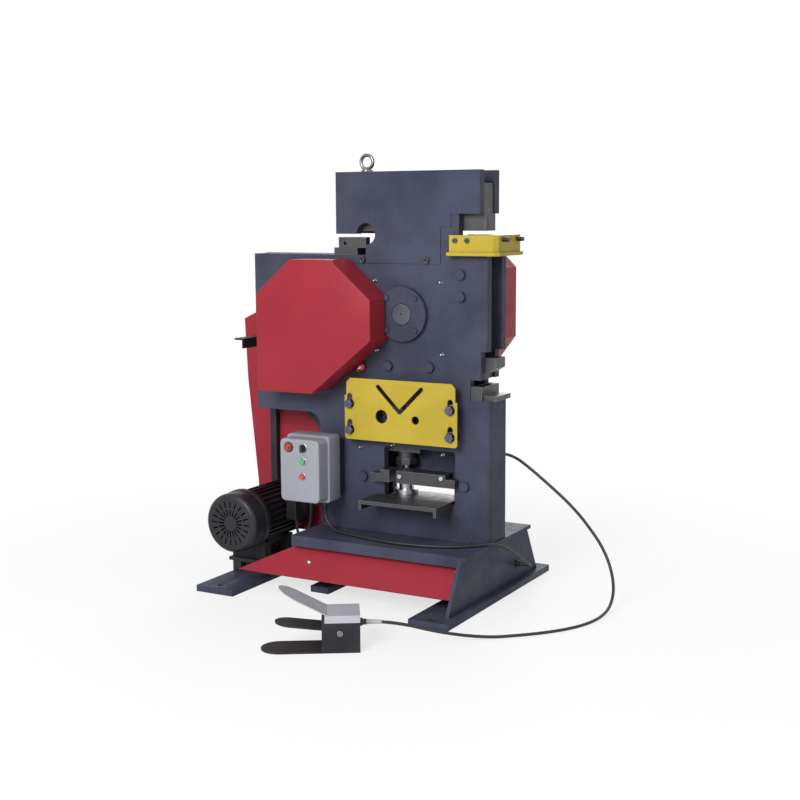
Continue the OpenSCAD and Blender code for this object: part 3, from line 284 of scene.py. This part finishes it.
# A finish for each material slot
FINISH = {
    "frame_paint": enamel(
        "frame_paint", (0.049, 0.053, 0.081), worn_and_highlit=(0.15, 0.15, 0.17),
        roughness=0.45, mottle=0.2, gloss=0.05,
    ),
    "dark_paint": enamel(
        "dark_paint", (0.027, 0.027, 0.032), worn_and_highlit=(0.2, 0.195, 0.19),
        roughness=0.4, mottle=0.25, peel=0.2, wear_and_highlight=0.9,
    ),
    "red_paint": enamel(
        "red_paint", (0.28, 0.02, 0.033), worn_and_highlit=(0.16, 0.02, 0.025),
        roughness=0.42, mottle=0.05, peel=0.1, wear_and_highlight=0.4, grime_and_shade=0.12,
    ),
    "yellow_paint": enamel(
        "yellow_paint", (0.44, 0.325, 0.036), worn_and_highlit=(0.2, 0.15, 0.06),
        roughness=0.42, mottle=0.06, wear_and_highlight=0.5, grime_and_shade=0.3,
    ),
    "grey_box": enamel(
        "grey_box", (0.275, 0.283, 0.32), worn_and_highlit=(0.2, 0.21, 0.23),
        roughness=0.4, mottle=0.05, peel=0.3, wear_and_highlight=0.25, grime_and_shade=0.2, gloss=0.4,
    ),
    "motor_black": enamel(
        "motor_black", (0.012, 0.012, 0.0155), worn_and_highlit=(0.1, 0.1, 0.105),
        roughness=0.42, mottle=0.2, peel=0.35, wear_and_highlight=0.5, grime_and_shade=0.2, gloss=0.3,
    ),
    "cable_rubber": moulded("cable_rubber", (0.011, 0.011, 0.012), 0.5, grain=900.0),
    "black_plastic": moulded("black_plastic", (0.016, 0.016, 0.018), 0.42),
    "tool_steel": steel("tool_steel", (0.075, 0.075, 0.08), 0.42, rust=0.25, metallic=0.75),
    "bright_steel": steel("bright_steel", (0.56, 0.57, 0.59), 0.3),
    "bronze": steel("bronze", (0.5, 0.31, 0.11), 0.35),
    "lamp_red": moulded("lamp_red", (0.36, 0.012, 0.018), 0.2, grain=300.0, coat=0.6, strength=0.05),
    "stop_red": moulded("stop_red", (0.6, 0.03, 0.035), 0.3, grain=500.0, coat=0.3),
    "start_green": moulded("start_green", (0.06, 0.36, 0.11), 0.3, grain=500.0, coat=0.3),
}

# Finishes of single pieces that depart from their slot's
PEDAL_ALLOY = enamel(
    "pedal_alloy", (0.43, 0.43, 0.47), worn_and_highlit=(0.6, 0.6, 0.62),
    roughness=0.34, mottle=0.04, peel=0.05, wear_and_highlight=0.5, grime_and_shade=0.15, gloss=0.5,
)
BLACK_BOLT = steel("black_bolt", (0.03, 0.03, 0.034), 0.4, metallic=0.7)
BLUED_BOLT = steel("blued_bolt", (0.12, 0.13, 0.18), 0.28)
DARK_SHAFT = steel("dark_shaft", (0.1, 0.105, 0.13), 0.45, metallic=0.8)
FORGED_EYE = steel("forged_eye", (0.22, 0.22, 0.235), 0.26, grain=(1.0, 1.0, 1.0), oil=0.6)


# Cords, through the same route points as the solids, in millimetres
CORD_D = 10 * MM
CORD_ROUND = 5
CURVE_STEPS = 8
PEDAL_ROUTE = [
    (323, -645, 77), (360, -622, 76), (400, -595, 70), (440, -567, 60), (480, -537, 46),
    (520, -505, 33), (560, -468, 21), (600, -431, 12), (640, -393, 6), (680, -356, 5),
    (720, -318, 5), (756, -278, 5), (788, -235, 5), (815, -188, 5), (834, -138, 5), (846, -86, 6),
    (850, -34, 8), (850, 16, 16), (845, 62, 34), (835, 100, 62), (818, 128, 100), (795, 145, 145),
    (766, 153, 190), (732, 156, 232), (694, 156, 275), (650, 156, 316), (602, 156, 354),
    (554, 156, 390), (508, 155, 423), (471, 149, 449), (447, 133, 464), (434, 109, 472),
    (430, 82, 475),
]
SUPPLY_ROUTE = [
    (-125, -145, 295), (-124, -145, 268), (-116, -148, 241), (-98, -153, 220), (-74, -160, 208),
    (-46, -168, 205), (-10, -178, 205), (30, -188, 205), (70, -197, 205), (110, -205, 205),
    (150, -210, 205), (190, -212, 205), (230, -210, 205), (270, -205, 205), (310, -197, 205),
    (350, -184, 205), (386, -166, 205), (420, -141, 205), (448, -111, 205), (470, -80, 205),
    (487, -52, 198), (500, -24, 185), (509, 6, 167), (516, 38, 146), (522, 70, 124), (527, 98, 107),
    (527, 123, 95), (518, 144, 87), (503, 159, 83), (483, 167, 81), (462, 168, 80),
]
MOTOR_ROUTE = [
    (-180, -145, 295), (-180, -145, 276), (-182, -144, 255), (-187, -139, 233), (-196, -132, 213),
    (-207, -124, 197), (-219, -115, 181), (-231, -105, 164), (-244, -95, 147), (-260, -83, 136),
    (-278, -70, 136), (-293, -59, 147), (-302, -52, 168), (-303, -50, 195),
]


def curve_through(points):
    """Catmull-Rom curve through the points."""
    p = [Vector(q) for q in points]
    out = []
    for i in range(len(p) - 1):
        a, b, c, d = p[max(i - 1, 0)], p[i], p[i + 1], p[min(i + 2, len(p) - 1)]
        square = 2 * a - 5 * b + 4 * c - d
        cube = 3 * b - a - 3 * c + d
        for k in range(CURVE_STEPS):
            t = k / CURVE_STEPS
            out.append((2 * b + (c - a) * t + square * t ** 2 + cube * t ** 3) / 2)
    return out + [p[-1]]


def make_cord(name, route, node):
    """A round cord in a node's place, along the curve through its route."""
    data = bpy.data.curves.new(name, "CURVE")
    data.dimensions = "3D"
    data.bevel_depth = CORD_D / 2
    data.bevel_resolution = CORD_ROUND
    data.use_fill_caps = True
    points = curve_through(route)
    spline = data.splines.new("POLY")
    spline.points.add(len(points) - 1)
    for point, at in zip(spline.points, points):
        point.co = (*(at * MM), 1.0)
    spline.use_smooth = True
    piece = link(name, data)
    data.materials.append(FINISH["cable_rubber"])
    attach(piece, "frame")
    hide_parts(node)


make_cord("pedal_cable", PEDAL_ROUTE, "pedal_cord")
make_cord("supply_cable", SUPPLY_ROUTE, "supply_cord")
make_cord("motor_cable", MOTOR_ROUTE, "motor_lead")


# Finishes for the solids
OWN_FINISH = {
    "pedal_cover": PEDAL_ALLOY, "cap_screws": BLACK_BOLT, "guard_bolts": BLUED_BOLT,
    "eccentric_shaft": DARK_SHAFT, "lifting_eye": FORGED_EYE, "pedal_pin": FORGED_EYE,
}
for node, piece in NODES.items():
    piece.data.materials.clear()
    piece.data.materials.append(OWN_FINISH.get(node, FINISH[SLOT_OF[node]]))


# Tools for small meshes
ROUND_SIDES, HEX_SIDES = 20, 6
TO_FRONT = (0, -1, 0)


def square_to(axis):
    """Two directions across an axis, and the axis itself."""
    turn = Vector((0, 0, 1)).rotation_difference(Vector(axis)).to_matrix()
    return [column.copy() for column in turn.col]


def circle(made, at, across, up, radius, sides):
    """A ring of vertices round a point, or the point alone where the radius is 0."""
    ring = []
    for k in range(sides if radius else 1):
        angle = 2 * math.pi * k / sides
        outward = math.cos(angle) * across + math.sin(angle) * up
        ring.append(made.verts.new((at + radius * outward) * MM))
    return ring


def bridge(made, rings, smooth=True, closed=False):
    """Skins a row of rings; a tip is a ring of one vertex."""
    around = max(len(ring) for ring in rings)
    for low, high in zip(rings, rings[1:] + (rings[:1] if closed else [])):
        for k in range(around):
            n = k + 1
            corners = (low[k % len(low)], low[n % len(low)], high[n % len(high)], high[k % len(high)])
            unique = list(dict.fromkeys(corners))
            if len(unique) > 2:
                made.faces.new(unique).smooth = smooth


def turned(made, profile, at, axis, sides):
    """Revolves (radius, height) pairs in millimetres; a bored profile closes on itself."""
    across, up, along = square_to(axis)
    rings = []
    for radius, height in profile:
        rings.append(circle(made, Vector(at) + along * height, across, up, radius, sides))
    bridge(made, rings, smooth=sides > HEX_SIDES, closed=profile[0][0] > 0)


def finish_mesh(name, made):
    bmesh.ops.recalc_face_normals(made, faces=made.faces)
    mesh = bpy.data.meshes.new(name)
    made.to_mesh(mesh)
    made.free()
    return mesh


def scatter(name, profile, spots, slot, axis=TO_FRONT, sides=ROUND_SIDES):
    """One piece of equal turned details at several spots on the frame."""
    made = bmesh.new()
    for at in spots:
        turned(made, profile, at, axis, sides)
    place(name, finish_mesh(name, made), "frame", slot)


# Oil points and bolts: (radius, height) profiles and places in millimetres
NIPPLE = [
    (0, -2), (6, -2), (6, 2.5), (4.4, 3), (4.4, 6), (3, 7.5),
    (3, 9), (4, 10), (4, 12), (2.6, 14), (0, 14.4),
]
CAP = [(0, -2), (17, -2), (17, 3), (19, 4), (19, 9), (17.5, 13), (14, 16.5), (8, 19), (0, 20)]
GLASS = [(0, 17), (8.5, 17), (8.2, 20), (5, 21.6), (0, 22.2)]
HEX_BOLT = [(0, -2), (8.5, -2), (8.5, 5.6), (7.4, 6.6), (0, 6.6)]
FRONT_Y = span("front_plate")[0].y
STRIPPER_Y = span("stripper")[0].y
NIPPLE_XZ = [(39, 1059), (288, 1058), (292, 821), (45, 825), (104, 505), (295, 487), (-22, 488)]
STRIPPER_BOLT_XZ = [(146, 405), (303, 412)]
OIL_CAP_AT = (-17, FRONT_Y, 764)

scatter("oil_nipples", NIPPLE, [(x, FRONT_Y, z) for x, z in NIPPLE_XZ], "bright_steel")
scatter(
    "stripper_bolts", HEX_BOLT, [(x, STRIPPER_Y, z) for x, z in STRIPPER_BOLT_XZ],
    "bright_steel", sides=HEX_SIDES,
)
scatter("oil_cap", CAP, [OIL_CAP_AT], "lamp_red")
scatter("oil_glass", GLASS, [OIL_CAP_AT], "bright_steel")


# Copies of the sheet and box nodes with rolled edges
MERGE_WITHIN = 2e-6
FLAT_ANGLE, SHARP_ANGLE, CREASE_ANGLE = (math.radians(a) for a in (0.5, 24, 28))


def soften(node, width, segments, chosen=None):
    """Stands a copy with rounded outer edges in a node's place."""
    source = NODES[node]
    made = bmesh.new()
    made.from_mesh(source.data)
    bmesh.ops.remove_doubles(made, verts=made.verts, dist=MERGE_WITHIN)
    bmesh.ops.dissolve_limit(made, angle_limit=FLAT_ANGLE, verts=made.verts, edges=made.edges)
    sharp = []
    for edge in made.edges:
        if len(edge.link_faces) == 2 and edge.is_convex and edge.calc_face_angle() > SHARP_ANGLE:
            middle = (edge.verts[0].co + edge.verts[1].co) / 2 / MM
            if chosen is None or chosen(middle):
                sharp.append(edge)
    bmesh.ops.bevel(
        made, geom=sharp, offset=width * MM, segments=segments,
        profile=0.5, affect="EDGES", clamp_overlap=True,
    )
    for face in made.faces:
        face.smooth = True
    mesh = finish_mesh(node + "_rolled", made)
    mesh.set_sharp_from_angle(angle=CREASE_ANGLE)
    piece = place(node + "_rolled", mesh, source["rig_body"], SLOT_OF[node], source.data.materials[0])
    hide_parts(node)


LID_LOW, LID_HIGH = span("control_lid")
LID_FRONT = LID_LOW.y
LID_RIM, LID_FACE = 26, 1
FRONT_COVER_BACK = span("gear_cover_front")[1].y
REAR_COVER_BACK = span("gear_cover_rear")[1].y
COVER_ROOT, COVER_FACE = 30, 2


def on_lid_rim(p):
    """True on the lid's front face near its outline, away from the holes."""
    from_side = min(p.x - LID_LOW.x, LID_HIGH.x - p.x, p.z - LID_LOW.z, LID_HIGH.z - p.z)
    return from_side < LID_RIM and p.y < LID_FRONT + LID_FACE


soften("control_lid", 6, 5, on_lid_rim)
soften("control_case", 1.5, 3)
soften("gear_cover_front", 2.5, 3, lambda p: p.y < FRONT_COVER_BACK - COVER_ROOT)
soften("gear_cover_rear", 2.5, 3, lambda p: p.y > REAR_COVER_BACK - COVER_FACE)
soften("belt_guard", 2.0, 2)
soften("guard_plate", 0.9, 2)
soften("base_feet", 2.0, 2)
soften("terminal_box", 2.0, 3)


# Bezels round the lamp, the knob and the buttons
BEZEL_GAP, BEZEL_W, BEZEL_H, BEZEL_SUNK, BEZEL_CHAMFER = 0.6, 3.2, 3.4, 0.4, 1.0
BEZEL_SIDES = 28
BEZEL_SLOT = {
    "indicator_lamp": "black_plastic", "selector_knob": "bright_steel",
    "start_button": "bright_steel", "stop_button": "bright_steel",
}
for node, slot in BEZEL_SLOT.items():
    low, high = span(node)
    middle = (low + high) / 2
    inner = (high.x - low.x) / 2 + BEZEL_GAP
    outer = inner + BEZEL_W
    ring = [
        (inner, -BEZEL_SUNK), (outer, -BEZEL_SUNK), (outer, BEZEL_H - BEZEL_CHAMFER),
        (outer - BEZEL_CHAMFER, BEZEL_H), (inner, BEZEL_H),
    ]
    scatter(node + "_bezel", ring, [(middle.x, LID_FRONT, middle.z)], slot, sides=BEZEL_SIDES)


# Strain reliefs that follow the cords out of their glands
RELIEF_R, RELIEF_GAP, RELIEF_LIP = 8.6, 0.15, 1.2
RIBS, GROOVE_DEPTH, GROOVE_END = 5, 0.7, 0.5
RIB_END, GROOVE_START = 0.45, 0.35
OFF_ALL_ROUTES = Vector((0.4, 0.1, 0.9))


def point_along(points, distance):
    """Point and heading at a distance along a curve."""
    for a, b in zip(points, points[1:]):
        step = (b - a).length
        if distance <= step:
            break
        distance -= step
    return a + (b - a) * (distance / step), (b - a).normalized()


def relief_profile(length):
    """(radius, distance) pairs of a tapered sleeve with ribs."""
    inner = CORD_D / MM / 2 + RELIEF_GAP
    pitch = length / RIBS
    profile = [(inner, 0), (RELIEF_R, 0)]
    for k in range(1, RIBS + 1):
        r = RELIEF_R + (inner + RELIEF_LIP - RELIEF_R) * k / RIBS
        end = length * k / RIBS
        groove = r - GROOVE_DEPTH
        profile.append((r, end - pitch * RIB_END))
        profile.append((groove, end - pitch * GROOVE_START))
        profile.append((groove, end - GROOVE_END))
    return profile + [(inner, length)]


def sleeve(name, route, skip, length, slot="black_plastic", material=None):
    """A relief on a cord, a distance in from the route's first point."""
    points = curve_through(route)
    made = bmesh.new()
    rings = []
    for radius, distance in relief_profile(length):
        at, heading = point_along(points, skip + distance)
        side = heading.cross(OFF_ALL_ROUTES).normalized()
        rings.append(circle(made, at, side, heading.cross(side), radius, ROUND_SIDES))
    bridge(made, rings, closed=True)
    place(name, finish_mesh(name, made), "frame", slot, material)


sleeve("supply_relief", SUPPLY_ROUTE, 8, 30)
sleeve("supply_end_relief", SUPPLY_ROUTE[::-1], 11, 26)
sleeve("motor_relief", MOTOR_ROUTE, 8, 28)
sleeve("motor_end_relief", MOTOR_ROUTE[::-1], 8, 24)
sleeve("pedal_relief", PEDAL_ROUTE, 6, 48, "bright_steel", PEDAL_ALLOY)
sleeve("pedal_end_relief", PEDAL_ROUTE[::-1], 6, 28)


# Screws on the sloping skirt panels
SCREW = [(0, -2), (7, -2), (7, 0.6), (5.4, 0.8), (5.2, 2.2), (4, 3.3), (2, 3.8), (1.8, 2.4), (0, 2.4)]
PANEL_TILT = (0, -0.803, 0.596)
PANEL_SCREWS_AT = [(-116.1, -264.5, 115.2), (430, -240.5, 147.5)]
scatter("panel_screws", SCREW, PANEL_SCREWS_AT, "bright_steel", axis=PANEL_TILT)


# Weld beads where the frame plates stand on the deck
BEAD_R, BEAD_SIDES, BEAD_OFF = 4, 10, 1
BEAD_PITCH = 0.55 * BEAD_R
BEAD_LEAST, BEAD_RIPPLE, BEAD_WANDER, WANDER_TURN = 0.9, 0.12, 0.06, 1.7
BEAD_X = (-180, 400)
BEAD_Z = span("front_plate")[0].z + BEAD_OFF
REAR_Y = span("rear_plate")[1].y


def bead(name, y):
    """Overlapping ripples of uneven size along a straight joint."""
    a, b = (Vector((x, y, BEAD_Z)) for x in BEAD_X)
    across, up, _ = square_to(b - a)
    count = int((b - a).length / BEAD_PITCH)
    made = bmesh.new()
    rings = []
    for i in range(count + 1):
        swell = BEAD_R * (BEAD_LEAST + BEAD_RIPPLE * (i % 2) + BEAD_WANDER * math.sin(i * WANDER_TURN))
        rings.append(circle(made, a + (b - a) * i / count, across, up, swell, BEAD_SIDES))
    bridge(made, rings)
    made.faces.new(rings[0])
    made.faces.new(rings[-1])
    place(name, finish_mesh(name, made), "frame", "frame_paint")


bead("column_weld", FRONT_Y - BEAD_OFF)
bead("column_weld_rear", REAR_Y + BEAD_OFF)


# Stage: floor and world look white, while the world lights only a little
FLOOR_HALF, FLOOR_DROP = 20, 0.0005
FLOOR_PALE, FLOOR_PALER = rgb(0.88, 0.88, 0.88), rgb(0.91, 0.91, 0.91)
FLOOR_ROUGHNESS = 0.7
GLOW_FROM, GLOW_FULL, GLOW_NEAR = 0.5, 2.4, 0.7
AMBIENT, AMBIENT_STRENGTH = rgb(0.95, 0.97, 1.0), 0.36


def seen_directly(tree):
    """1 for camera rays, reflections and rays through glass, and 0 for diffuse light."""
    path = tree.nodes.new("ShaderNodeLightPath")
    seen = path.outputs["Is Camera Ray"]
    for ray in ("Is Glossy Ray", "Is Transmission Ray"):
        most = tree.nodes.new("ShaderNodeMath")
        most.operation = "MAXIMUM"
        tree.links.new(seen, most.inputs[0])
        tree.links.new(path.outputs[ray], most.inputs[1])
        seen = most.outputs[0]
    return seen


def mix_shaders(tree, factor, first, second, out):
    mixed = tree.nodes.new("ShaderNodeMixShader")
    for socket, value in zip(mixed.inputs, (factor, first.outputs[0], second.outputs[0])):
        tree.links.new(value, socket)
    tree.links.new(mixed.outputs[0], out.inputs["Surface"])


def make_floor():
    net = Net("studio_floor")
    from_middle = net.add("VectorMath", {"operation": "LENGTH"})
    net.feed(from_middle, 0, net.coord)
    fade = net.spread(from_middle.outputs["Value"], GLOW_FROM, GLOW_FULL, GLOW_NEAR, 1.0)
    net.shade(Base_Color=net.mix(net.noise(30.0, 3.0), FLOOR_PALE, FLOOR_PALER), Roughness=FLOOR_ROUGHNESS)
    glow = net.add("Emission", Color=WHITE, Strength=1.0)
    factor = net.product(seen_directly(net.tree), fade)
    mix_shaders(net.tree, factor, net.shader, glow, net.tree.nodes["Material Output"])
    made = bmesh.new()
    bmesh.ops.create_grid(made, x_segments=2, y_segments=2, size=FLOOR_HALF)
    mesh = finish_mesh("floor", made)
    mesh.materials.append(net.material)
    floor = link("floor", mesh)
    floor.location.z = -FLOOR_DROP


def make_world():
    world = bpy.data.worlds.new("studio")
    bpy.context.scene.world = world
    world.use_nodes = True
    tree = world.node_tree
    tree.nodes.clear()
    ambient, white = (tree.nodes.new("ShaderNodeBackground") for _ in range(2))
    ambient.inputs["Color"].default_value = AMBIENT
    ambient.inputs["Strength"].default_value = AMBIENT_STRENGTH
    white.inputs["Color"].default_value = WHITE
    mix_shaders(tree, seen_directly(tree), ambient, white, tree.nodes.new("ShaderNodeOutputWorld"))


make_floor()
make_world()

# Lamps: place and size in metres, and power in watts
LAMP_AIM = Vector((0, 0, 0.6))
LAMPS = {
    "key": ((0.2, -5.2, 3.0), 2.6, 270),
    "fill": ((4.6, -2.4, 2.2), 3.0, 15),
    "top": ((0.2, 0.3, 4.2), 3.0, 15),
    "back": ((-1.5, 5.0, 3.0), 3.0, 110),
}
for name, (at, size, power) in LAMPS.items():
    data = bpy.data.lights.new(name, "AREA")
    data.shape = "DISK"
    data.size = size
    data.energy = power
    light = link(name, data)
    light.location = at
    light.rotation_euler = (Vector(at) - LAMP_AIM).to_track_quat("Z", "Y").to_euler()

bpy.context.scene.view_settings.view_transform = "Standard"

bpy.context.view_layer.update()
